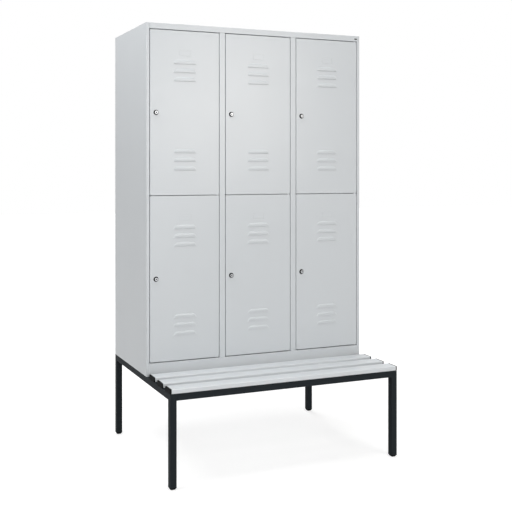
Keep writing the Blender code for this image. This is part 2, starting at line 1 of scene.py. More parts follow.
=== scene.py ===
"""Looks of a steel locker with six doors on a bench frame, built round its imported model.

Metres, +Z up. X runs along the doors, -Y faces the person on the bench, and the floor is at z = 0.
"""

import json
import math

import bmesh
import bpy
from mathutils import Matrix, Vector


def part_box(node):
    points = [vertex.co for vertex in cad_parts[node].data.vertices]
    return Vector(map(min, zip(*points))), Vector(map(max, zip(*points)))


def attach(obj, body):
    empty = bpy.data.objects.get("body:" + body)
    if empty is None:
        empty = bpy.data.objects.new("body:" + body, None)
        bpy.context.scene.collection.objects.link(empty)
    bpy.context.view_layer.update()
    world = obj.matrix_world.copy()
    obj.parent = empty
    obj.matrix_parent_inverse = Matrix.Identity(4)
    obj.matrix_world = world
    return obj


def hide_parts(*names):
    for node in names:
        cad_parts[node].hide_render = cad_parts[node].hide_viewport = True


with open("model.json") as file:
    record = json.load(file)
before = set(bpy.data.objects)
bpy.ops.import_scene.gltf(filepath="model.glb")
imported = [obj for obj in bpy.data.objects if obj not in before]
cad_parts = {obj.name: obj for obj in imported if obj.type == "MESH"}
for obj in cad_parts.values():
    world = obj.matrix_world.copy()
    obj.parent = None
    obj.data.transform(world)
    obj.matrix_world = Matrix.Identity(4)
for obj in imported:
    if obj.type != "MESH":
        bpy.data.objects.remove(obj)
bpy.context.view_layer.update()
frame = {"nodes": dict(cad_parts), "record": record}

# Coordinates less than this apart count as the same
NEAR = 0.00002
# Faces that meet at a smaller angle are shaded as one surface
SMOOTH_ANGLE = math.radians(40)
# Faces that meet at a larger angle, in radians, form a corner of a tube
CORNER_ANGLE = 1.0
# A face whose normal has a smaller share along Y is a wall of a door
WALL_SHARE = 0.5
# Steps in the rounding of a fold, a small edge, a tube's corner and a wide edge
FOLD_STEPS = 3
EDGE_STEPS = 2
CORNER_STEPS = 4
WIDE_STEPS = 6
TIERS = ("lower", "upper")
COLUMNS = (1, 2, 3)

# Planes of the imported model
SIDE_LOW, SIDE_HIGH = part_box("left_side_panel")
LEFT, BASE, BACK, ROOF = SIDE_LOW.x, SIDE_LOW.z, SIDE_HIGH.y, SIDE_HIGH.z
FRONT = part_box("floor_panel")[0].y
DOOR_LOW, DOOR_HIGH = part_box("door_upper_1")
DOOR_BACK = DOOR_HIGH.y
DOOR_GAP = 0.003
RAIL_GAP = 0.0035
PLINTH_GAP = 0.0044
PLINTH_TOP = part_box("door_lower_1")[0].z - PLINTH_GAP
RAIL_UNDERSIDE = DOOR_HIGH.z + RAIL_GAP
FRAME_LOW, FRAME_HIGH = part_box("left_side_frame")
MIDDLE_GAP = DOOR_LOW.z - DOOR_GAP / 2

# Sheet metal
SHEET = 0.001
FIT = 0.0003
FOLD = 0.0013
STILE_WIDTH = 0.015
POST_WIDTH = 0.030
LIP_DEPTH = 0.016
REAR_FLANGE = 0.015
BASE_FLANGE = 0.025

# Doors
DOOR_CORNER = 0.005
DOOR_CORNER_STEPS = 5
DOOR_LIP = 0.012
LOUVRE_WIDTH = 0.120
LOUVRE_INNER_WIDTH = 0.104
LOUVRE_HEIGHT = 0.019
LOUVRE_CREASE = 0.0006
# Each row's height above the hood's lower edge, the outline's half width there, and the half width
# and reach of the hood's flat
LOUVRE_ROWS = (
    (0.0, 0.0600, 0.0560, 0.0021),
    (0.0060, 0.0568, 0.0524, 0.0028),
    (0.0110, 0.0532, 0.0482, 0.0031),
    (0.0150, 0.0490, 0.0434, 0.0029),
    (0.0173, 0.0456, 0.0394, 0.0020),
    (0.0190, 0.0405, 0.0340, 0.0),
)
LOUVRE_LIFT = 0.0006
LOUVRE_RISES = (0.120, 0.1615, 0.203, 0.548, 0.5895, 0.631)
LABEL_WIDTH = 0.060
LABEL_HEIGHT = 0.029
LABEL_DROP = 0.0925
LABEL_SLOPE = 0.0006
LABEL_FLOOR = 0.0009
LABEL_DEPTH = 0.0006
# A mark's inner and outer distance from the middle, and its drop and height below the label's edge
LABEL_MARK = (0.018, 0.025, 0.0045, 0.0025)
LABEL_MARK_SLOPE = 0.0007

# Hinge pins
PIVOT_INSET = 0.010
PIVOT_DEPTH = 0.006
PIN_RADIUS = 0.003
PIN_SIDES = 24
PIN_REACH = 0.012
PIN_EDGE = 0.0007
PIN_PLAY = 0.0003
PIVOT_DISC_RADIUS = 0.0055
PIVOT_DISC_SIDES = 40
PIVOT_DISC_EDGE = 0.0003
PIVOT_PLAY = 0.0005
PIVOT_ARM_WIDTH = 0.006
PIVOT_Y = FRONT + PIVOT_DEPTH

# Locks, their rings as radius and depth from the door's face
LOCK_INSET = 0.030
LOCK_HOLE_RADIUS = 0.0093
LOCK_SIDES = 48
ROSETTE_RINGS = (
    (0.0068, -0.0065),
    (0.0080, -0.0065),
    (0.0085, -0.0062),
    (0.0119, -0.0017),
    (0.01225, -0.0012),
    (0.01225, -0.0003),
    (0.0090, -0.0003),
    (0.0090, 0.0147),
    (0.0087, 0.0150),
    (0.0065, 0.0150),
)
CYLINDER_RINGS = (
    (0.0071, -0.0073),
    (0.0076, -0.0071),
    (0.0077, -0.0067),
    (0.0062, -0.0067),
    (0.0062, 0.0180),
)
NUT_RADIUS = 0.0125
NUT_BORE = 0.0078
NUT_FRONT = 0.0013
NUT_BACK = 0.0053
NUT_SIDES = 6
NUT_EDGE = 0.0006
KEYHOLE_RADIUS = 0.0034
KEYHOLE_DEPTH = 0.005
KEYHOLE_SIDES = 32
# A black disc set in the keyhole as painted shade for the hole's darkness, its rings as radius and
# depth
SHADE_PLUG_RINGS = (
    (0.0027, -0.0058),
    (0.0032, -0.0056),
    (0.0032, -0.0030),
)
KEYWAY = (0.0014, 0.0044)
KEYWAY_DEPTH = 0.002
KEYWAY_CORNER = 0.0004
CAM_FRONT = 0.0175
CAM_BACK = 0.0195
CAM_HALF_WIDTH = 0.007
CAM_LENGTH = 0.039
CAM_CORNER = 0.003
CAM_SIDES = 40
CAM_SCREW_RADIUS = 0.0036
CAM_SCREW_HEIGHT = 0.0012
CAM_SCREW_EDGE = 0.0005
CAM_SCREW_SIDES = 24

# Inside the compartments, the rings as radius and depth along their axis
BACK_SHEET_EDGE = 0.0003
COAT_RAIL_RADIUS = 0.008
COAT_RAIL_FLANGE = 0.002
COAT_RAIL_EDGE = 0.0007
COAT_RAIL_SIDES = 40
SCREW_SPREAD = 0.0118
SCREW_RADIUS = 0.0024
SCREW_HEIGHT = 0.0011
SCREW_EDGE = 0.0006
SCREW_SIDES = 20
HOOK_RINGS = (
    (0.0089, -0.0030),
    (0.0107, -0.0030),
    (0.0111, -0.0026),
    (0.0111, 0.0026),
    (0.0107, 0.0030),
    (0.0089, 0.0030),
    (0.0086, 0.0027),
    (0.0086, -0.0027),
)
HOOK_STEM_HALF = 0.002
HOOK_STEM_CORNER = 0.0008
HOOK_ARM_RADIUS = 0.014
HOOK_ARM_THICKNESS = 0.004
HOOK_ARM_CORNER = 0.0012
HOOK_ARM_STEPS = 24
HOOK_TIP_RADIUS = 0.0032
HOOK_TIP_SIDES = 20
HOOK_TIP_RINGS = 12
RIVET_RINGS = (
    (0.0012, 0.0008),
    (0.0026, 0.0006),
    (0.0032, 0.0001),
    (0.0032, -0.0002),
    (0.0016, -0.0002),
    (0.0016, -0.0024),
    (0.0023, -0.0026),
    (0.0023, -0.0040),
    (0.0012, -0.0046),
)
RIVET_SIDES = 20
RIVET_COUNT = 9
RIVET_MARGIN = 0.050

# Tubes, slats and feet
TUBE = 0.030
TUBE_CORNER = 0.0018
TUBE_WALL = 0.002
WELD_RADIUS = 0.0018
WELD_SIDES = 12
SLAT_CORNER = 0.004
SLAT_WALL = 0.0025
CAP_PLATE = 0.006
CAP_EDGE = 0.0008
CAP_SPIGOT = 0.012
CAP_BORDER = 0.0028
FOOT_HEIGHT = 0.010
FOOT_FLANGE = 0.002
FOOT_EDGE = 0.0085
FOOT_STEP = 0.0004
FOOT_BORDER = 0.0023
FOOT_SPIGOT = 0.020
PLATE_EDGE = 0.0002

# The surface of every finish
GRAIN_SIZE = 900.0
SWELL_SHARE = 0.4
SWELL_SCALE = 0.22
MATT_AREA_SCALE = 5.0
MATT_AREA_DETAIL = 3.0
BUMP_STRENGTH = 0.35
# Each slot's finish drifts between its colour and its shade, and its grain has a depth in metres
FINISH_VALUES = {
    "cabinet_grey": {
        "name": "light grey powder coat",
        "colour": (0.590, 0.620, 0.643),
        "shade": (0.575, 0.605, 0.628),
        "rough": (0.28, 0.34),
        "depth": 0.00006,
    },
    "slat_grey": {
        "name": "light grey slat",
        "colour": (0.635, 0.665, 0.688),
        "shade": (0.620, 0.650, 0.673),
        "rough": (0.34, 0.42),
        "depth": 0.00006,
        "grain": 700.0,
    },
    "frame_anthracite": {
        "name": "anthracite powder coat",
        "colour": (0.0170, 0.0210, 0.0243),
        "shade": (0.0150, 0.0186, 0.0216),
        "rough": (0.58, 0.68),
        "depth": 0.0001,
        "shine": 0.06,
    },
    "black_plastic": {
        "name": "black moulded plastic",
        "colour": (0.0045, 0.0050, 0.0055),
        "shade": (0.0070, 0.0075, 0.0080),
        "rough": (0.60, 0.70),
        "depth": 0.00005,
        "shine": 0.04,
    },
    "chrome": {
        "name": "nickel plating",
        "colour": (0.40, 0.41, 0.42),
        "shade": (0.35, 0.36, 0.37),
        "rough": (0.30, 0.38),
        "depth": 0.00002,
        "grain": 1500.0,
        "metallic": 1.0,
    },
    "zinc": {
        "name": "zinc plating",
        "colour": (0.56, 0.57, 0.58),
        "shade": (0.48, 0.49, 0.50),
        "rough": (0.28, 0.42),
        "depth": 0.00003,
        "grain": 600.0,
        "metallic": 1.0,
    },
}

# Camera, ground and lamps
CAMERA_PLACE = (-1.8422, -3.6430, 1.4077)
CAMERA_TURN = math.radians(-20.45)
CAMERA_SENSOR, CAMERA_LENS = 36.0, 55.93
CAMERA_SHIFT = (0.1853, -0.1714)
GROUND_SIZE = 40
GROUND_COLOUR = (0.55, 0.55, 0.55, 1)
GROUND_ROUGHNESS = 0.9
SKY_STRENGTH = 0.15
# Two distances from the middle of the ground, and how strongly it glows there
GLOW_NEAR_AND_FAR = (0.9, 6.0, 0.62, 1.0)
AIM = (0, 0, 1.2)
WHITE, WARM = (1, 1, 1), (1.0, 0.95, 0.90)
# Each lamp's name, place, side, power and colour
LAMPS = (
    ("softbox", (1.4, -3.6, 2.1), 1.4, 37, WARM),
    ("wide front lamp", (0.4, -6.0, 1.0), 3.0, 58, WHITE),
    ("front left lamp", (-1.8, -4.0, 1.6), 1.6, 40, WHITE),
    ("upper left lamp", (-2.2, -0.4, 3.8), 1.6, 60, WHITE),
    ("ceiling lamp", (0, -0.4, 5.4), 4.0, 100, WHITE),
    ("back lamp", (0.6, 4.2, 3.4), 2.4, 100, WHITE),
)


def corners_of(item):
    return [item.co] if isinstance(item, bmesh.types.BMVert) else [v.co for v in item.verts]


def placed(**places):
    """A test for what lies wholly at the given coordinates, each a number or a pair of bounds."""

    def test(item):
        for axis, place in places.items():
            low, high = place if isinstance(place, tuple) else (place, place)
            for corner in corners_of(item):
                if not low - NEAR < corner["xyz".index(axis)] < high + NEAR:
                    return False
        return True

    return test


def any_of(*tests):
    """A test for what passes at least one of the tests."""
    return lambda item: any(test(item) for test in tests)


def all_of(*tests):
    """A test for what passes all of the tests."""
    return lambda item: all(test(item) for test in tests)


def every(item):
    return True


def on_rim(edge):
    return edge.is_boundary


def runs(axis):
    """A test for edges that run along an axis."""
    others = [index for index in range(3) if "xyz"[index] != axis]

    def test(edge):
        first, last = (corner.co for corner in edge.verts)
        return all(abs(first[index] - last[index]) < NEAR for index in others)

    return test


def deselect():
    bpy.ops.object.select_all(action="DESELECT")


def only(piece):
    """Selects one piece and makes it the active one."""
    deselect()
    piece.select_set(True)
    bpy.context.view_layer.objects.active = piece


def opened(piece):
    """Opens a piece in edit mode with nothing selected."""
    only(piece)
    bpy.ops.object.mode_set(mode="EDIT")
    bpy.ops.mesh.select_all(action="DESELECT")


def closed():
    bpy.ops.object.mode_set(mode="OBJECT")


def pick(kind, test):
    """Selects the faces, edges or corners of the opened piece that pass the test."""
    mesh = bpy.context.object.data
    bpy.ops.mesh.select_mode(type=kind)
    bpy.ops.mesh.select_all(action="DESELECT")
    work = bmesh.from_edit_mesh(mesh)
    for item in {"VERT": work.verts, "EDGE": work.edges, "FACE": work.faces}[kind]:
        if test(item):
            item.select_set(True)
    work.select_flush_mode()
    bmesh.update_edit_mesh(mesh)


def extrude(offset):
    bpy.ops.mesh.extrude_region_move(TRANSFORM_OT_translate={"value": offset})


def round_off(test, radius, steps):
    """Rounds the opened piece's edges that pass the test."""
    pick("EDGE", test)
    bpy.ops.mesh.bevel(offset=radius, segments=steps, affect="EDGES")


def remove_faces(test):
    pick("FACE", test)
    bpy.ops.mesh.delete(type="FACE")


def slice_faces(test, point, normal):
    pick("FACE", test)
    bpy.ops.mesh.bisect(plane_co=point, plane_no=normal)


def face_outwards():
    """Turns all faces of the opened piece outwards."""
    bpy.ops.mesh.select_all(action="SELECT")
    bpy.ops.mesh.normals_make_consistent(inside=False)


def settled(name):
    """The primitive just added, named, with its place, turn and size applied to its mesh."""
    bpy.ops.object.transform_apply(location=True, rotation=True, scale=True)
    piece = bpy.context.object
    piece.name = piece.data.name = name
    return piece


def box_piece(name, low, high):
    """A cube primitive brought to fill the space between two corners."""
    deselect()
    low, high = Vector(low), Vector(high)
    bpy.ops.mesh.primitive_cube_add(size=1, location=(low + high) / 2, scale=high - low)
    return settled(name)


def rod_piece(name, radius, low, high, sides):
    """A cylinder primitive between two points that differ along one axis."""
    deselect()
    low, high = Vector(low), Vector(high)
    way = high - low
    turn = way.to_track_quat("Z", "Y").to_euler()
    bpy.ops.mesh.primitive_cylinder_add(
        vertices=sides, radius=radius, depth=way.length, location=(low + high) / 2, rotation=turn
    )
    return settled(name)


def turned_piece(name, centre, rings, sides, hollow=False):
    """Rings of (radius, depth) round a line along Y, drawn out one from the other."""
    centre = Vector(centre)
    (radius, depth), *others = rings
    deselect()
    bpy.ops.mesh.primitive_circle_add(
        vertices=sides,
        radius=radius,
        location=centre + Vector((0, depth, 0)),
        rotation=(math.pi / 2, 0, 0),
    )
    piece = settled(name)
    opened(piece)
    bpy.ops.mesh.select_all(action="SELECT")
    for next_radius, next_depth in others:
        extrude((0, next_depth - depth, 0))
        share = next_radius / radius
        here = centre + Vector((0, next_depth, 0))
        bpy.ops.transform.resize(value=(share, 1, share), center_override=here)
        radius, depth = next_radius, next_depth
    pick("EDGE", on_rim)
    if hollow:
        bpy.ops.mesh.bridge_edge_loops()
    else:
        bpy.ops.mesh.fill_holes(sides=0)
    face_outwards()
    closed()
    return piece


def apply_modifier(piece, kind, **settings):
    modifier = piece.modifiers.new(kind, kind)
    for name, value in settings.items():
        setattr(modifier, name, value)
    only(piece)
    bpy.ops.object.modifier_apply(modifier=modifier.name)


def thicken(piece, wall=SHEET):
    """Gives a folded surface the thickness of its sheet, inwards."""
    apply_modifier(
        piece,
        "SOLIDIFY",
        solidify_mode="NON_MANIFOLD",
        nonmanifold_thickness_mode="CONSTRAINTS",
        nonmanifold_boundary_mode="NONE",
        thickness=wall,
        offset=-1,
    )


def drill(piece, *cutters):
    """Cuts the cutters out of the piece and removes them."""
    for cutter in cutters:
        apply_modifier(piece, "BOOLEAN", operation="DIFFERENCE", object=cutter)
        bpy.data.objects.remove(cutter, do_unlink=True)
    return piece


def fused(base, *others):
    """Welds the other pieces into the first."""
    for other in others:
        apply_modifier(base, "BOOLEAN", operation="UNION", object=other)
        bpy.data.objects.remove(other, do_unlink=True)
    return base


def rounded_box(name, low, high, test, radius, steps):
    """A box with the edges that pass the test rounded."""
    piece = box_piece(name, low, high)
    opened(piece)
    round_off(test, radius, steps)
    closed()
    return piece


def hollowed(piece, low_x, high_x, wall):
    """Takes both ends off a bar that runs along X and leaves it a tube."""
    opened(piece)
    remove_faces(placed(x=low_x))
    remove_faces(placed(x=high_x))
    closed()
    thicken(piece, wall)
    return piece


def joined(*pieces):
    """Joins pieces into the first of them."""
    only(pieces[0])
    for piece in pieces:
        piece.select_set(True)
    bpy.ops.object.join()
    return pieces[0]


def smooth(piece):
    """Shades rounded edges smooth while flat faces stay flat."""
    only(piece)
    bpy.ops.object.shade_smooth_by_angle(angle=SMOOTH_ANGLE)
    apply_modifier(piece, "WEIGHTED_NORMAL", weight=100, keep_sharp=True)
    return piece


def copied(piece, name, offset=(0, 0, 0)):
    """A copy with its own mesh, moved by an offset."""
    twin = piece.copy()
    twin.data = piece.data.copy()
    twin.name = twin.data.name = name
    bpy.context.scene.collection.objects.link(twin)
    twin.data.transform(Matrix.Translation(offset))
    return twin


def mirrored(piece, name):
    """A copy on the other side of the plane x = 0."""
    twin = copied(piece, name)
    opened(twin)
    bpy.ops.mesh.select_all(action="SELECT")
    bpy.ops.transform.resize(value=(-1, 1, 1), center_override=(0, 0, 0))
    face_outwards()
    closed()
    return twin


def dress(piece, body, slot, *nodes):
    """Puts the slot's finish on a piece, which rides on a body and stands for the nodes."""
    piece.data.materials.clear()
    piece.data.materials.append(FINISHES[slot])
    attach(piece, body)
    if nodes:
        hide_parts(*nodes)


def coat_group():
    """Powder coat: the fine grain and the long swell of its surface, and where it is more matt."""
    group = bpy.data.node_groups.new("powder coat surface", "ShaderNodeTree")
    for name, value in (("Grain size", GRAIN_SIZE), ("Swell share", SWELL_SHARE)):
        socket = group.interface.new_socket(name, in_out="INPUT", socket_type="NodeSocketFloat")
        socket.default_value = value
    for name in ("Height", "Matt areas"):
        group.interface.new_socket(name, in_out="OUTPUT", socket_type="NodeSocketFloat")
    nodes, link = group.nodes, group.links.new
    entry, out = nodes.new("NodeGroupInput"), nodes.new("NodeGroupOutput")
    place = nodes.new("ShaderNodeTexCoord")
    grain, swell, areas = (nodes.new("ShaderNodeTexNoise") for _ in range(3))
    swell_scale = nodes.new("ShaderNodeMath")
    swell_scale.operation = "MULTIPLY"
    swell_scale.inputs[1].default_value = SWELL_SCALE
    mixed = nodes.new("ShaderNodeMix")
    areas.inputs["Scale"].default_value = MATT_AREA_SCALE
    areas.inputs["Detail"].default_value = MATT_AREA_DETAIL
    for noise in (grain, swell, areas):
        link(place.outputs["Object"], noise.inputs["Vector"])
    link(entry.outputs["Grain size"], grain.inputs["Scale"])
    link(entry.outputs["Grain size"], swell_scale.inputs[0])
    link(swell_scale.outputs[0], swell.inputs["Scale"])
    link(entry.outputs["Swell share"], mixed.inputs["Factor"])
    link(grain.outputs["Fac"], mixed.inputs["A"])
    link(swell.outputs["Fac"], mixed.inputs["B"])
    link(mixed.outputs["Result"], out.inputs["Height"])
    link(areas.outputs["Fac"], out.inputs["Matt areas"])
    return group


def coated(group, name, colour, shade, rough, depth, grain=GRAIN_SIZE, metallic=0.0, shine=0.5):
    """A finish whose colour and roughness drift a little over the surface, with a fine grain."""
    made = bpy.data.materials.new(name)
    made.use_nodes = True
    nodes, link = made.node_tree.nodes, made.node_tree.links.new
    shader = nodes["Principled BSDF"]
    surface = nodes.new("ShaderNodeGroup")
    surface.node_tree = group
    surface.inputs["Grain size"].default_value = grain
    tint = nodes.new("ShaderNodeMix")
    tint.data_type = "RGBA"
    tint.inputs["A"].default_value = (*colour, 1)
    tint.inputs["B"].default_value = (*shade, 1)
    gloss = nodes.new("ShaderNodeMapRange")
    gloss.inputs["To Min"].default_value, gloss.inputs["To Max"].default_value = rough
    bump = nodes.new("ShaderNodeBump")
    bump.inputs["Strength"].default_value = BUMP_STRENGTH
    bump.inputs["Distance"].default_value = depth
    shader.inputs["Metallic"].default_value = metallic
    shader.inputs["Specular IOR Level"].default_value = shine
    link(surface.outputs["Matt areas"], tint.inputs["Factor"])
    link(tint.outputs["Result"], shader.inputs["Base Color"])
    link(surface.outputs["Matt areas"], gloss.inputs["Value"])
    link(gloss.outputs["Result"], shader.inputs["Roughness"])
    link(surface.outputs["Height"], bump.inputs["Height"])
    link(bump.outputs["Normal"], shader.inputs["Normal"])
    return made


def make_finishes():
    group = coat_group()
    return {slot: coated(group, **values) for slot, values in FINISH_VALUES.items()}


def side_panel():
    """The left side: its sheet, front stile with a lip, rear flange and base flange."""
    inner = LEFT + STILE_WIDTH
    piece = box_piece("side_sheet_left", (LEFT, FRONT, BASE), (inner, BACK, ROOF))
    opened(piece)
    remove_faces(placed(z=ROOF))
    remove_faces(placed(z=BASE))
    remove_faces(placed(x=inner))
    pick("EDGE", placed(x=inner, y=FRONT))
    extrude((0, LIP_DEPTH, 0))
    for cut in (FRONT + BASE_FLANGE + FIT, BACK - 3 * SHEET):
        slice_faces(placed(x=LEFT), (LEFT, cut, BASE), (0, 1, 0))
    foot = placed(x=LEFT, y=(FRONT + BASE_FLANGE, BACK - 2 * SHEET), z=BASE)
    pick("EDGE", foot)
    extrude((BASE_FLANGE, 0, 0))
    folds = (placed(x=LEFT, y=FRONT), placed(x=LEFT, y=BACK), placed(x=inner, y=FRONT))
    round_off(any_of(*folds), FOLD, FOLD_STEPS)
    closed()
    thicken(piece)
    return piece


def build_sides():
    left = side_panel()
    right = mirrored(left, "side_sheet_right")
    dress(smooth(left), "cabinet", "cabinet_grey", "left_side_panel")
    dress(smooth(right), "cabinet", "cabinet_grey", "right_side_panel")


def roof():
    """The roof with the top rail folded down at its front and a lip folded back under the rail."""
    right, back = -LEFT - SHEET, BACK - SHEET - FIT
    piece = box_piece("roof_sheet", (-right, FRONT, RAIL_UNDERSIDE), (right, back, ROOF))
    opened(piece)
    remove_faces(placed(z=RAIL_UNDERSIDE))
    remove_faces(placed(y=back))
    remove_faces(placed(x=-right))
    remove_faces(placed(x=right))
    stile = -LEFT - STILE_WIDTH - FIT
    for edge in (-stile, stile):
        slice_faces(every, (edge, 0, ROOF), (1, 0, 0))
    behind = FRONT + SHEET + FIT
    for spans in ((-right, -stile), (stile, right)):
        remove_faces(placed(x=spans, y=FRONT))
        slice_faces(placed(x=spans, z=ROOF), (0, behind, ROOF), (0, 1, 0))
        remove_faces(placed(x=spans, y=(FRONT, behind), z=ROOF))
    pick("EDGE", placed(y=FRONT, z=RAIL_UNDERSIDE))
    extrude((0, LIP_DEPTH, 0))
    folds = (placed(y=FRONT, z=ROOF), placed(y=FRONT, z=RAIL_UNDERSIDE))
    round_off(any_of(*folds), FOLD, FOLD_STEPS)
    closed()
    thicken(piece)
    return smooth(piece)


def floor_and_plinth():
    """The cabinet floor with the plinth folded down at its front and a base flange folded back."""
    right = -LEFT - SHEET - FIT
    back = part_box("floor_panel")[1].y
    piece = box_piece("floor_sheet", (-right, FRONT, BASE), (right, back, PLINTH_TOP))
    opened(piece)
    remove_faces(placed(y=back))
    remove_faces(placed(x=-right))
    remove_faces(placed(x=right))
    stile = -LEFT - STILE_WIDTH - FIT
    for edge in (-stile, stile):
        slice_faces(every, (edge, 0, BASE), (1, 0, 0))
    behind = FRONT + LIP_DEPTH + FIT
    for spans in ((-right, -stile), (stile, right)):
        remove_faces(placed(x=spans, y=FRONT))
        remove_faces(placed(x=spans, z=BASE))
        slice_faces(placed(x=spans, z=PLINTH_TOP), (0, behind, PLINTH_TOP), (0, 1, 0))
        remove_faces(placed(x=spans, y=(FRONT, behind), z=PLINTH_TOP))
    slice_faces(placed(z=BASE), (0, FRONT + BASE_FLANGE, BASE), (0, 1, 0))
    remove_faces(placed(y=(FRONT + BASE_FLANGE, back), z=BASE))
    folds = (placed(y=FRONT, z=PLINTH_TOP), placed(y=FRONT, z=BASE))
    round_off(any_of(*folds), FOLD, FOLD_STEPS)
    closed()
    thicken(piece)
    return smooth(piece)


def post_and_partition(name, middle):
    """The front post with its two lips, and the sheet behind it."""
    half = POST_WIDTH / 2
    low, high = PLINTH_TOP + FIT, RAIL_UNDERSIDE - FIT
    post = box_piece(name, (middle - half, FRONT, low), (middle + half, FRONT + LIP_DEPTH, high))
    opened(post)
    remove_faces(placed(y=FRONT + LIP_DEPTH))
    remove_faces(placed(z=low))
    remove_faces(placed(z=high))
    round_off(all_of(placed(y=FRONT), runs("z")), FOLD, FOLD_STEPS)
    closed()
    thicken(post)
    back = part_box("partition_1")[1].y
    web_low, web_high = (middle - SHEET / 2, FRONT + SHEET, low), (middle + SHEET / 2, back, high)
    web = box_piece("web", web_low, web_high)
    opened(web)
    slice_faces(every, (middle, FRONT + LIP_DEPTH + FIT, low), (0, 1, 0))
    pick("FACE", placed(y=(FRONT + LIP_DEPTH, back), z=high))
    extrude((0, 0, ROOF - SHEET - high))
    closed()
    return smooth(joined(post, web))


def build_shell():
    build_sides()
    dress(roof(), "cabinet", "cabinet_grey", "roof_panel")
    dress(floor_and_plinth(), "cabinet", "cabinet_grey", "floor_panel")
    for index in (1, 2):
        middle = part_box(f"partition_{index}")[1].x - POST_WIDTH / 2
        post = post_and_partition(f"post_and_partition_{index}", middle)
        dress(post, "cabinet", "cabinet_grey", f"partition_{index}")


def corners_at(places, on_lip):
    """A test for corners at any of the places. Those on a lip have all faces above them."""

    def test(corner):
        if not any(here(corner) for here in places):
            return False
        middles = [face.calc_center_median().z for face in corner.link_faces]
        return not on_lip or min(middles) > corner.co.z

    return test


def press_louvres(middle, base):
    """Slits the opened door along each louvre's lower edge and presses the hoods out."""
    edges = [base + rise for rise in LOUVRE_RISES]
    outer, inner = LOUVRE_WIDTH / 2, LOUVRE_INNER_WIDTH / 2
    spans = (middle - outer, middle + outer)
    bands = [placed(y=FRONT, z=(edge, edge + LOUVRE_HEIGHT)) for edge in edges]
    for half in (-outer, -inner, inner, outer):
        slice_faces(any_of(*bands), (middle + half, FRONT, base), (1, 0, 0))
    for edge in edges:
        hood = placed(x=spans, y=FRONT, z=(edge, edge + LOUVRE_HEIGHT))
        for height, *_ in LOUVRE_ROWS[1:-1]:
            slice_faces(hood, (middle, FRONT, edge + height), (0, 0, 1))
        pick("EDGE", placed(x=spans, y=FRONT, z=edge))
        bpy.ops.mesh.edge_split(type="EDGE")
    for height, outline, flat, reach in LOUVRE_ROWS:
        for line, half, depth in ((outer, outline, 0), (inner, flat, reach)):
            places = [
                placed(x=middle + side * line, y=FRONT, z=edge + height)
                for side in (-1, 1)
                for edge in edges
            ]
            on_lip = height == 0 and depth > 0
            pick("VERT", corners_at(places, on_lip))
            share = half / line
            centre = (middle, FRONT, 0)
            bpy.ops.transform.resize(value=(share, 1, 1), center_override=centre)
            bpy.ops.transform.translate(value=(0, -depth, LOUVRE_LIFT if on_lip else 0))

    def is_crease(edge):
        if not placed(x=spans, y=FRONT)(edge):
            return False
        flat = [placed(y=FRONT)(face) for face in edge.link_faces]
        return len(flat) == 2 and flat.count(True) == 1

    round_off(is_crease, LOUVRE_CREASE, EDGE_STEPS)


def press_label(middle, top):
    """Stamps the shallow frame of the label field and its two marks into the opened door."""
    low_x, high_x, low_z = middle - LABEL_WIDTH / 2, middle + LABEL_WIDTH / 2, top - LABEL_HEIGHT
    inner = (middle, low_z + LABEL_HEIGHT / 2)

    def holds_it(face):
        spans = [[corner.co[axis] for corner in face.verts] for axis in (0, 2)]
        held = all(min(span) < place < max(span) for span, place in zip(spans, inner))
        return placed(y=FRONT)(face) and held

    for place in (low_x, high_x):
        slice_faces(holds_it, (place, FRONT, top), (1, 0, 0))
    for place in (low_z, top):
        slice_faces(placed(x=(low_x, high_x), y=FRONT), (middle, FRONT, place), (0, 0, 1))
    pick("FACE", placed(x=(low_x, high_x), y=FRONT, z=(low_z, top)))
    bpy.ops.mesh.inset(thickness=LABEL_SLOPE, depth=-LABEL_DEPTH)
    bpy.ops.mesh.inset(thickness=LABEL_FLOOR, depth=0)
    bpy.ops.mesh.inset(thickness=LABEL_SLOPE, depth=LABEL_DEPTH)
    near, far, drop, height = LABEL_MARK
    for side in (-1, 1):
        ends = sorted((middle + side * near, middle + side * far))
        for place in ends:
            slice_faces(holds_it, (place, FRONT, top), (1, 0, 0))
        for place in (top - drop - height, top - drop):
            column = placed(x=tuple(ends), y=FRONT, z=(low_z, top))
            slice_faces(column, (middle, FRONT, place), (0, 0, 1))
        pick("FACE", placed(x=tuple(ends), y=FRONT, z=(top - drop - height, top - drop)))
        bpy.ops.mesh.inset(thickness=LABEL_MARK_SLOPE, depth=-LABEL_DEPTH)


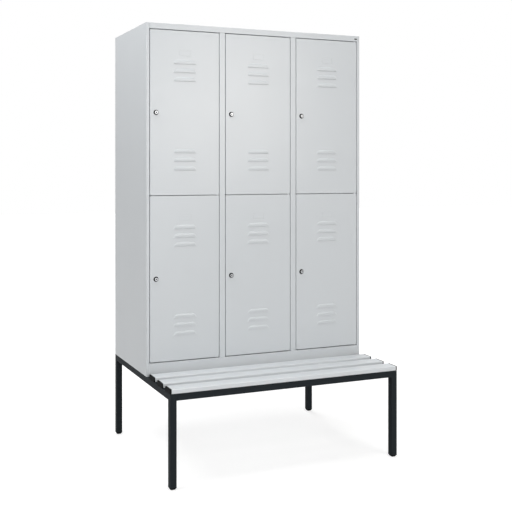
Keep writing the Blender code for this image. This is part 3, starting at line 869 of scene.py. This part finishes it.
def door_leaf():
    """The upper left door: a folded pan with six louvres and a stamped label field."""
    low, high = (DOOR_LOW.x, FRONT, DOOR_LOW.z), (DOOR_HIGH.x, DOOR_BACK, DOOR_HIGH.z)
    middle = (DOOR_LOW.x + DOOR_HIGH.x) / 2
    centre = (Vector(low) + Vector(high)) / 2
    width, height = DOOR_HIGH.x - DOOR_LOW.x, DOOR_HIGH.z - DOOR_LOW.z
    leaf = box_piece("door_leaf", low, high)
    opened(leaf)
    round_off(runs("y"), DOOR_CORNER, DOOR_CORNER_STEPS)
    pick("FACE", placed(y=DOOR_BACK))
    extrude((0, 0, 0))
    shares = (1 - 2 * DOOR_LIP / width, 1, 1 - 2 * DOOR_LIP / height)
    bpy.ops.transform.resize(value=shares, center_override=centre)
    bpy.ops.mesh.delete(type="FACE")

    def is_fold(edge):
        flat = placed(y=FRONT)(edge) or placed(y=DOOR_BACK)(edge)
        return flat and any(abs(face.normal.y) < WALL_SHARE for face in edge.link_faces)

    round_off(is_fold, FOLD, FOLD_STEPS)
    for rise in LOUVRE_RISES:
        for place in (rise, rise + LOUVRE_HEIGHT):
            slice_faces(placed(y=FRONT), (middle, FRONT, low[2] + place), (0, 0, 1))
    press_louvres(middle, low[2])
    press_label(middle, high[2] - LABEL_DROP)
    closed()
    thicken(leaf)
    lock_x, lock_z = low[0] + LOCK_INSET, (low[2] + high[2]) / 2
    lock_ends = (lock_x, FRONT - NEAR, lock_z), (lock_x, FRONT + 2 * SHEET, lock_z)
    drill(leaf, rod_piece("lock hole", LOCK_HOLE_RADIUS, *lock_ends, LOCK_SIDES))
    pin_x = high[0] - PIVOT_INSET
    for edge in (low[2], high[2]):
        pin_ends = (pin_x, PIVOT_Y, edge - 2 * SHEET), (pin_x, PIVOT_Y, edge + 2 * SHEET)
        drill(leaf, rod_piece("pin hole", PIN_RADIUS + PIN_PLAY, *pin_ends, PIN_SIDES))
    return smooth(leaf)


def to_each_door(piece, label, body, slot, node=None):
    """Puts copies of an upper left piece on all doors, each for its own door's node, if any."""
    for tier in TIERS:
        for column in COLUMNS:
            name = f"{tier}_{column}"
            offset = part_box(f"door_{name}")[0] - DOOR_LOW
            twin = copied(piece, f"{label}_{name}", offset)
            stood_for = [f"{node}_{name}"] if node else []
            dress(twin, f"{body}_{name}", slot, *stood_for)
    bpy.data.objects.remove(piece, do_unlink=True)


def pin(name, x, low, high):
    """An upright hinge pin with rounded ends."""
    piece = rod_piece(name, PIN_RADIUS, (x, PIVOT_Y, low), (x, PIVOT_Y, high), PIN_SIDES)
    opened(piece)
    round_off(any_of(placed(z=low), placed(z=high)), PIN_EDGE, EDGE_STEPS)
    closed()
    return piece


def middle_pivot(name, x):
    """The disc, arm and pin between the two doors of a column."""
    low, high = MIDDLE_GAP - DOOR_GAP / 2 + PIVOT_PLAY, MIDDLE_GAP + DOOR_GAP / 2 - PIVOT_PLAY
    reach = PIN_REACH - DOOR_GAP / 2
    disc_ends = (x, PIVOT_Y, low), (x, PIVOT_Y, high)
    disc = rod_piece(name, PIVOT_DISC_RADIUS, *disc_ends, PIVOT_DISC_SIDES)
    opened(disc)
    round_off(any_of(placed(z=low), placed(z=high)), PIVOT_DISC_EDGE, EDGE_STEPS)
    closed()
    far = x + PIVOT_INSET + DOOR_GAP + SHEET / 2
    arm_low, arm_high = (x, PIVOT_Y, low), (far, PIVOT_Y + PIVOT_ARM_WIDTH, high)
    arm = rounded_box("arm", arm_low, arm_high, runs("x"), PIVOT_DISC_EDGE, EDGE_STEPS)
    return fused(disc, arm, pin("pin", x, MIDDLE_GAP - reach, MIDDLE_GAP + reach))


def build_pins():
    """The pins that the doors turn on: on the rails, and between the doors of each column."""
    for column in COLUMNS:
        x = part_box(f"door_upper_{column}")[1].x - PIVOT_INSET
        pins = (
            pin(f"top_pin_{column}", x, RAIL_UNDERSIDE - PIN_REACH, RAIL_UNDERSIDE + SHEET / 2),
            pin(f"bottom_pin_{column}", x, PLINTH_TOP - SHEET / 2, PLINTH_TOP + PIN_REACH),
            middle_pivot(f"middle_pivot_{column}", x),
        )
        for piece in pins:
            dress(smooth(piece), "cabinet", "zinc")


def lock_axis():
    """Where the upper left lock's axis meets the front of its door."""
    return Vector((DOOR_LOW.x + LOCK_INSET, FRONT, (DOOR_LOW.z + DOOR_HIGH.z) / 2))


def lock_body():
    """The upper left rosette with its barrel and nut."""
    axis = lock_axis()
    body = turned_piece("lock_rosette", axis, ROSETTE_RINGS, LOCK_SIDES, hollow=True)
    front, back = axis + Vector((0, NUT_FRONT, 0)), axis + Vector((0, NUT_BACK, 0))
    nut = rod_piece("nut", NUT_RADIUS, front, back, NUT_SIDES)
    opened(nut)
    round_off(every, NUT_EDGE, EDGE_STEPS)
    closed()
    bore_end = axis + Vector((0, 2 * NUT_BACK, 0))
    drill(nut, rod_piece("bore", NUT_BORE, axis, bore_end, LOCK_SIDES))
    return smooth(fused(body, nut))


def lock_cylinder():
    """The upper left cylinder with its keyhole and its cam, which hangs down."""
    axis = lock_axis()
    body = turned_piece("lock_cylinder", axis, CYLINDER_RINGS, LOCK_SIDES)
    face = axis + Vector((0, CYLINDER_RINGS[0][1], 0))
    hole_ends = face - Vector((0, SHEET, 0)), face + Vector((0, KEYHOLE_DEPTH, 0))
    drill(body, rod_piece("keyhole", KEYHOLE_RADIUS, *hole_ends, KEYHOLE_SIDES))
    front, back = FRONT + CAM_FRONT, FRONT + CAM_BACK
    head_ends = (axis.x, front, axis.z), (axis.x, back, axis.z)
    head = rod_piece("cam head", CAM_HALF_WIDTH, *head_ends, CAM_SIDES)
    plate_low = (axis.x - CAM_HALF_WIDTH, front, axis.z - CAM_LENGTH)
    plate_high = (axis.x + CAM_HALF_WIDTH, back, axis.z)
    corners = all_of(runs("y"), placed(z=axis.z - CAM_LENGTH))
    plate = rounded_box("cam", plate_low, plate_high, corners, CAM_CORNER, CORNER_STEPS)
    screw_ends = (axis.x, back - SHEET, axis.z), (axis.x, back + CAM_SCREW_HEIGHT, axis.z)
    screw = rod_piece("screw", CAM_SCREW_RADIUS, *screw_ends, CAM_SCREW_SIDES)
    opened(screw)
    round_off(placed(y=back + CAM_SCREW_HEIGHT), CAM_SCREW_EDGE, EDGE_STEPS)
    closed()
    return smooth(fused(body, head, plate, screw))


def keyhole_shade_plug():
    """A black plastic disc in the upper left keyhole, painted shade standing in for the hole's
    darkness, with the slit for the key.
    """
    axis = lock_axis()
    disc = turned_piece("keyhole_shade_plug", axis, SHADE_PLUG_RINGS, KEYHOLE_SIDES)
    width, height = KEYWAY
    face = axis.y + SHADE_PLUG_RINGS[0][1]
    slot_low = (axis.x - width / 2, face - SHEET, axis.z - height / 2)
    slot_high = (axis.x + width / 2, face + KEYWAY_DEPTH, axis.z + height / 2)
    slit = rounded_box("slit", slot_low, slot_high, runs("y"), KEYWAY_CORNER, EDGE_STEPS)
    return smooth(drill(disc, slit))


def back_sheet():
    """The back, which reaches up to the underside of the roof."""
    low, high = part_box("back_panel")
    high.z = ROOF - SHEET
    return smooth(rounded_box("back_sheet", low, high, every, BACK_SHEET_EDGE, EDGE_STEPS))


def rivets():
    """Two rows of rivets through the back and the side panels' flanges."""
    first = turned_piece("rivet", (0, BACK, 0), RIVET_RINGS, RIVET_SIDES)
    pitch = (ROOF - BASE - 2 * RIVET_MARGIN) / (RIVET_COUNT - 1)
    places = [
        (side * (-LEFT - REAR_FLANGE / 2), 0, BASE + RIVET_MARGIN + pitch * index)
        for side in (-1, 1)
        for index in range(RIVET_COUNT)
    ]
    copies = [copied(first, f"back_rivets_{index}", place) for index, place in enumerate(places)]
    row = joined(*copies)
    row.name = row.data.name = "back_rivets"
    bpy.data.objects.remove(first, do_unlink=True)
    return smooth(row)


def shelf(column):
    """A tray between two compartments, its edges folded down."""
    low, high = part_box(f"shelf_{column}")
    tray = box_piece(f"shelf_tray_{column}", low, high)
    opened(tray)
    remove_faces(placed(z=low.z))
    round_off(any_of(placed(z=high.z), runs("z")), FOLD, FOLD_STEPS)
    closed()
    thicken(tray)
    return smooth(tray)


def coat_rail(name, low, high):
    """A tube across a compartment with a screwed flange at each end."""
    middle = (low + high) / 2
    half, flange = (high.x - low.x) / 2, (high.z - low.z) / 2
    end = [
        (COAT_RAIL_RADIUS - SHEET, 0),
        (flange, 0),
        (flange, COAT_RAIL_FLANGE - COAT_RAIL_EDGE),
        (flange - COAT_RAIL_EDGE, COAT_RAIL_FLANGE),
        (COAT_RAIL_RADIUS, COAT_RAIL_FLANGE),
    ]
    rings = [(radius, depth - half) for radius, depth in end]
    rings += [(radius, half - depth) for radius, depth in reversed(end)]
    rail = turned_piece(name, (0, 0, 0), rings, COAT_RAIL_SIDES, hollow=True)
    rail.data.transform(Matrix.Translation(middle) @ Matrix.Rotation(math.pi / 2, 4, "Z"))
    screws = []
    for wall, way in ((low.x, 1), (high.x, -1)):
        root, top = wall + way * SHEET, wall + way * (COAT_RAIL_FLANGE + SCREW_HEIGHT)
        for spread in (-SCREW_SPREAD, SCREW_SPREAD):
            ends = (root, middle.y + spread, middle.z), (top, middle.y + spread, middle.z)
            screw = rod_piece("screw", SCREW_RADIUS, *ends, SCREW_SIDES)
            opened(screw)
            round_off(placed(x=top), SCREW_EDGE, EDGE_STEPS)
            closed()
            screws.append(screw)
    return smooth(joined(rail, *screws))


def coat_hook():
    """The upper left hook: an eye round the rail, a stem and two arms with ball ends."""
    low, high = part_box("coat_hook_upper_1")
    x, y = (low.x + high.x) / 2, (low.y + high.y) / 2
    eye_z, arms_z = high.z - HOOK_RINGS[2][0], low.z + HOOK_ARM_RADIUS
    eye = turned_piece("coat_hook", (0, 0, 0), HOOK_RINGS, COAT_RAIL_SIDES, hollow=True)
    eye.data.transform(Matrix.Translation((x, y, eye_z)) @ Matrix.Rotation(math.pi / 2, 4, "Z"))
    stem_low = (low.x, y - HOOK_STEM_HALF, low.z + HOOK_ARM_THICKNESS / 2)
    stem_high = (high.x, y + HOOK_STEM_HALF, eye_z - HOOK_RINGS[0][0] - SHEET)
    stem = rounded_box("stem", stem_low, stem_high, runs("z"), HOOK_STEM_CORNER, EDGE_STEPS)
    deselect()
    ring = HOOK_ARM_RADIUS - HOOK_ARM_THICKNESS / 2
    bpy.ops.mesh.primitive_plane_add(size=1, location=(x, y + ring, arms_z))
    bpy.context.object.scale = (high.x - low.x, HOOK_ARM_THICKNESS, 1)
    arms = settled("arms")
    opened(arms)
    bpy.ops.mesh.select_all(action="SELECT")
    bpy.ops.mesh.bevel(offset=HOOK_ARM_CORNER, segments=FOLD_STEPS, affect="VERTICES")
    bpy.ops.mesh.select_all(action="SELECT")
    centre = (x, y, arms_z)
    bpy.ops.mesh.spin(steps=HOOK_ARM_STEPS, angle=math.pi, center=centre, axis=(-1, 0, 0))
    pick("EDGE", on_rim)
    bpy.ops.mesh.fill_holes(sides=0)
    face_outwards()
    closed()
    tips = []
    for side in (-1, 1):
        deselect()
        bpy.ops.mesh.primitive_uv_sphere_add(
            segments=HOOK_TIP_SIDES,
            ring_count=HOOK_TIP_RINGS,
            radius=HOOK_TIP_RADIUS,
            location=(x, y + side * ring, arms_z),
        )
        tips.append(settled("tip"))
    return smooth(fused(eye, stem, arms, *tips))


def build_inside():
    dress(back_sheet(), "cabinet", "cabinet_grey", "back_panel")
    dress(rivets(), "cabinet", "zinc")
    hook = coat_hook()
    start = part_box("coat_hook_upper_1")[0]
    for column in COLUMNS:
        dress(shelf(column), "cabinet", "cabinet_grey", f"shelf_{column}")
        for tier in TIERS:
            name = f"{tier}_{column}"
            rail = coat_rail(f"wardrobe_rail_{name}", *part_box(f"coat_rail_{name}"))
            dress(rail, "cabinet", "chrome", f"coat_rail_{name}")
            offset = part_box(f"coat_hook_{name}")[0] - start
            twin = copied(hook, f"sliding_hook_{name}", offset)
            dress(twin, f"hook_{name}", "zinc", f"coat_hook_{name}")
    bpy.data.objects.remove(hook, do_unlink=True)


def weld(start, end):
    """A bead of weld along an inner corner."""
    return rod_piece("weld", WELD_RADIUS, start, end, WELD_SIDES)


def side_frame():
    """The left frame: a rail drawn out from its front corner, and a leg down from each end."""
    low, high = FRAME_LOW, FRAME_HIGH
    under, corner = high.z - TUBE, low.y + TUBE
    tube = box_piece("side_frame_left", (low.x, low.y, under), (high.x, corner, high.z))
    opened(tube)
    pick("FACE", placed(y=corner))
    extrude((0, high.y - TUBE - corner, 0))
    extrude((0, TUBE, 0))
    for spans in ((low.y, corner), (high.y - TUBE, high.y)):
        pick("FACE", placed(y=spans, z=under))
        extrude((0, 0, low.z - under))
    bottom = placed(z=low.z)

    def is_corner(edge):
        return edge.calc_face_angle() > CORNER_ANGLE and not bottom(edge)

    round_off(is_corner, TUBE_CORNER, CORNER_STEPS)
    remove_faces(bottom)
    closed()
    thicken(tube, TUBE_WALL)
    return tube


def frame_rail(name, node, welded):
    """A tube between the side frames, with a bead of weld in each inner corner."""
    low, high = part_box(node)
    tube = rounded_box(name, low, high, runs("x"), TUBE_CORNER, CORNER_STEPS)
    hollowed(tube, low.x, high.x, TUBE_WALL)
    side = WELD_RADIUS + TUBE_CORNER
    places = {"front": low.y, "back": high.y}
    beads = [
        weld((x, places[face], low.z + side), (x, places[face], high.z - side))
        for x in (low.x, high.x)
        for face in welded
    ]
    return smooth(fused(tube, *beads))


def foot():
    """The front left glide: a rounded pad, a flange under the leg and a spigot that plugs it."""
    low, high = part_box("foot_front_left")
    shoulder = low.z + FOOT_HEIGHT
    ends = (low.x, low.y, shoulder - FOOT_FLANGE), (high.x, high.y, shoulder)
    flange = rounded_box("glide", *ends, runs("z"), TUBE_CORNER, CORNER_STEPS)
    opened(flange)
    pick("FACE", placed(z=shoulder))
    bpy.ops.mesh.inset(thickness=FOOT_BORDER, depth=0)
    extrude((0, 0, FOOT_SPIGOT))
    closed()
    pad_low = (low.x + FOOT_STEP, low.y + FOOT_STEP, low.z)
    pad_high = (high.x - FOOT_STEP, high.y - FOOT_STEP, shoulder - FOOT_FLANGE / 2)
    top = placed(z=pad_high[2])

    def is_lower(edge):
        return not top(edge)

    pad = rounded_box("pad", pad_low, pad_high, is_lower, FOOT_EDGE, WIDE_STEPS)
    return smooth(fused(flange, pad))


def slat():
    """The front slat, a hollow profile with rounded long edges."""
    low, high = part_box("slat_1")
    low.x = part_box("slat_cap_left_1")[0].x + CAP_PLATE + FIT
    high.x = -low.x
    bar = rounded_box("slat", low, high, runs("x"), SLAT_CORNER, WIDE_STEPS)
    return smooth(hollowed(bar, low.x, high.x, SLAT_WALL))


def slat_cap():
    """The left cap of the front slat: a plate and the spigot that plugs the slat."""
    low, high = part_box("slat_cap_left_1")
    high.x = low.x + CAP_PLATE
    cap = rounded_box("slat_cap", low, high, runs("x"), SLAT_CORNER, WIDE_STEPS)
    opened(cap)
    round_off(placed(x=low.x), CAP_EDGE, FOLD_STEPS)
    pick("FACE", placed(x=high.x))
    bpy.ops.mesh.inset(thickness=CAP_BORDER, depth=0)
    extrude((CAP_SPIGOT, 0, 0))
    closed()
    return smooth(cap)


def build_bench():
    left = side_frame()
    right = mirrored(left, "side_frame_right")
    dress(smooth(left), "cabinet", "frame_anthracite", "left_side_frame")
    dress(smooth(right), "cabinet", "frame_anthracite", "right_side_frame")
    for node, welded in (("front", ["back"]), ("cross", ["front", "back"]), ("rear", ["front"])):
        tube = frame_rail(f"{node}_tube", f"{node}_rail", welded)
        dress(tube, "cabinet", "frame_anthracite", f"{node}_rail")
    glide = foot()
    for end in ("front", "rear"):
        for side in ("left", "right"):
            node = f"foot_{end}_{side}"
            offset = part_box(node)[0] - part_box("foot_front_left")[0]
            twin = copied(glide, f"glide_{end}_{side}", offset)
            dress(twin, "cabinet", "black_plastic", node)
    bar, left_cap = slat(), slat_cap()
    right_cap = smooth(mirrored(left_cap, "right_cap"))
    for index in (1, 2, 3):
        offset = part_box(f"slat_{index}")[0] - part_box("slat_1")[0]
        twin = copied(bar, f"seat_slat_{index}", offset)
        dress(twin, "cabinet", "slat_grey", f"slat_{index}")
        for cap, side in ((left_cap, "left"), (right_cap, "right")):
            twin = copied(cap, f"end_cap_{side}_{index}", offset)
            dress(twin, "cabinet", "black_plastic", f"slat_cap_{side}_{index}")
    for piece in (glide, bar, left_cap, right_cap):
        bpy.data.objects.remove(piece, do_unlink=True)


def build_plate():
    low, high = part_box("blank_plate")
    plate = rounded_box("small_plate", low, high, every, PLATE_EDGE, EDGE_STEPS)
    dress(smooth(plate), "cabinet", "black_plastic", "blank_plate")


def light(name, place, size, power, colour):
    """A soft square lamp aimed at the cabinet."""
    lamp = bpy.data.lights.new(name, "AREA")
    lamp.shape, lamp.size, lamp.energy, lamp.color = "SQUARE", size, power, colour
    item = bpy.data.objects.new(name, lamp)
    item.location = place
    item.rotation_euler = (Vector(AIM) - Vector(place)).to_track_quat("-Z", "Y").to_euler()
    bpy.context.scene.collection.objects.link(item)


def build_camera():
    camera = bpy.data.cameras.new("camera")
    camera.sensor_width, camera.lens = CAMERA_SENSOR, CAMERA_LENS
    camera.shift_x, camera.shift_y = CAMERA_SHIFT
    item = bpy.data.objects.new("camera", camera)
    item.location = CAMERA_PLACE
    item.rotation_euler = (math.pi / 2, 0, CAMERA_TURN)
    bpy.context.scene.collection.objects.link(item)
    bpy.context.scene.camera = item


def seen_rays(nodes, link):
    """One for rays that come straight from the camera, or through a reflection or glass."""
    path = nodes.new("ShaderNodeLightPath")
    first, second = nodes.new("ShaderNodeMath"), nodes.new("ShaderNodeMath")
    first.operation = second.operation = "MAXIMUM"
    link(path.outputs["Is Camera Ray"], first.inputs[0])
    link(path.outputs["Is Glossy Ray"], first.inputs[1])
    link(first.outputs[0], second.inputs[0])
    link(path.outputs["Is Transmission Ray"], second.inputs[1])
    return second.outputs[0]


def build_sky():
    """A sky that reads white and gives a weaker, plain light."""
    world = bpy.data.worlds.new("studio")
    world.use_nodes = True
    nodes, link = world.node_tree.nodes, world.node_tree.links.new
    plain = nodes["Background"]
    plain.inputs["Color"].default_value = (1, 1, 1, 1)
    plain.inputs["Strength"].default_value = SKY_STRENGTH
    white, mixed = nodes.new("ShaderNodeBackground"), nodes.new("ShaderNodeMixShader")
    white.inputs["Color"].default_value = (1, 1, 1, 1)
    link(seen_rays(nodes, link), mixed.inputs[0])
    link(plain.outputs[0], mixed.inputs[1])
    link(white.outputs[0], mixed.inputs[2])
    link(mixed.outputs[0], nodes["World Output"].inputs["Surface"])
    bpy.context.scene.world = world


def pale_floor():
    """A pale finish that glows for seen rays alone, more strongly away from the middle."""
    pale = bpy.data.materials.new("pale floor")
    pale.use_nodes = True
    nodes, link = pale.node_tree.nodes, pale.node_tree.links.new
    shader = nodes["Principled BSDF"]
    shader.inputs["Base Color"].default_value = GROUND_COLOUR
    shader.inputs["Roughness"].default_value = GROUND_ROUGHNESS
    glow, added = nodes.new("ShaderNodeEmission"), nodes.new("ShaderNodeAddShader")
    mixed = nodes.new("ShaderNodeMixShader")
    place, reach = nodes.new("ShaderNodeTexCoord"), nodes.new("ShaderNodeVectorMath")
    fade = nodes.new("ShaderNodeMapRange")
    reach.operation = "LENGTH"
    link(place.outputs["Object"], reach.inputs[0])
    link(reach.outputs["Value"], fade.inputs["Value"])
    for name, value in zip(("From Min", "From Max", "To Min", "To Max"), GLOW_NEAR_AND_FAR):
        fade.inputs[name].default_value = value
    link(fade.outputs["Result"], glow.inputs["Strength"])
    link(shader.outputs[0], added.inputs[0])
    link(glow.outputs[0], added.inputs[1])
    link(seen_rays(nodes, link), mixed.inputs[0])
    link(shader.outputs[0], mixed.inputs[1])
    link(added.outputs[0], mixed.inputs[2])
    link(mixed.outputs[0], nodes["Material Output"].inputs["Surface"])
    return pale


def build_ground():
    deselect()
    bpy.ops.mesh.primitive_plane_add(size=GROUND_SIZE, location=(0, 0, 0))
    ground = bpy.context.object
    ground.name = "ground"
    ground.data.materials.append(pale_floor())


def finish_solids():
    """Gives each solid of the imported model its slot's finish."""
    slots = {entry["node"]: entry["material_slot"] for entry in frame["record"]["subparts"]}
    for name, node in frame["nodes"].items():
        if name in slots:
            node.data.materials.clear()
            node.data.materials.append(FINISHES[slots[name]])


FINISHES = make_finishes()
build_camera()
build_shell()
to_each_door(door_leaf(), "door_leaf", "door", "cabinet_grey", "door")
build_pins()
to_each_door(lock_body(), "lock_rosette", "door", "black_plastic", "lock_body")
to_each_door(lock_cylinder(), "lock_core", "lock", "chrome", "lock_cylinder")
# The black disc in each keyhole is painted shade, not a real part of the lock
to_each_door(keyhole_shade_plug(), "keyhole_painted_shade", "lock", "black_plastic")
build_inside()
build_bench()
build_plate()
finish_solids()
build_sky()
build_ground()
for lamp in LAMPS:
    light(*lamp)
bpy.context.scene.view_settings.view_transform = "Standard"
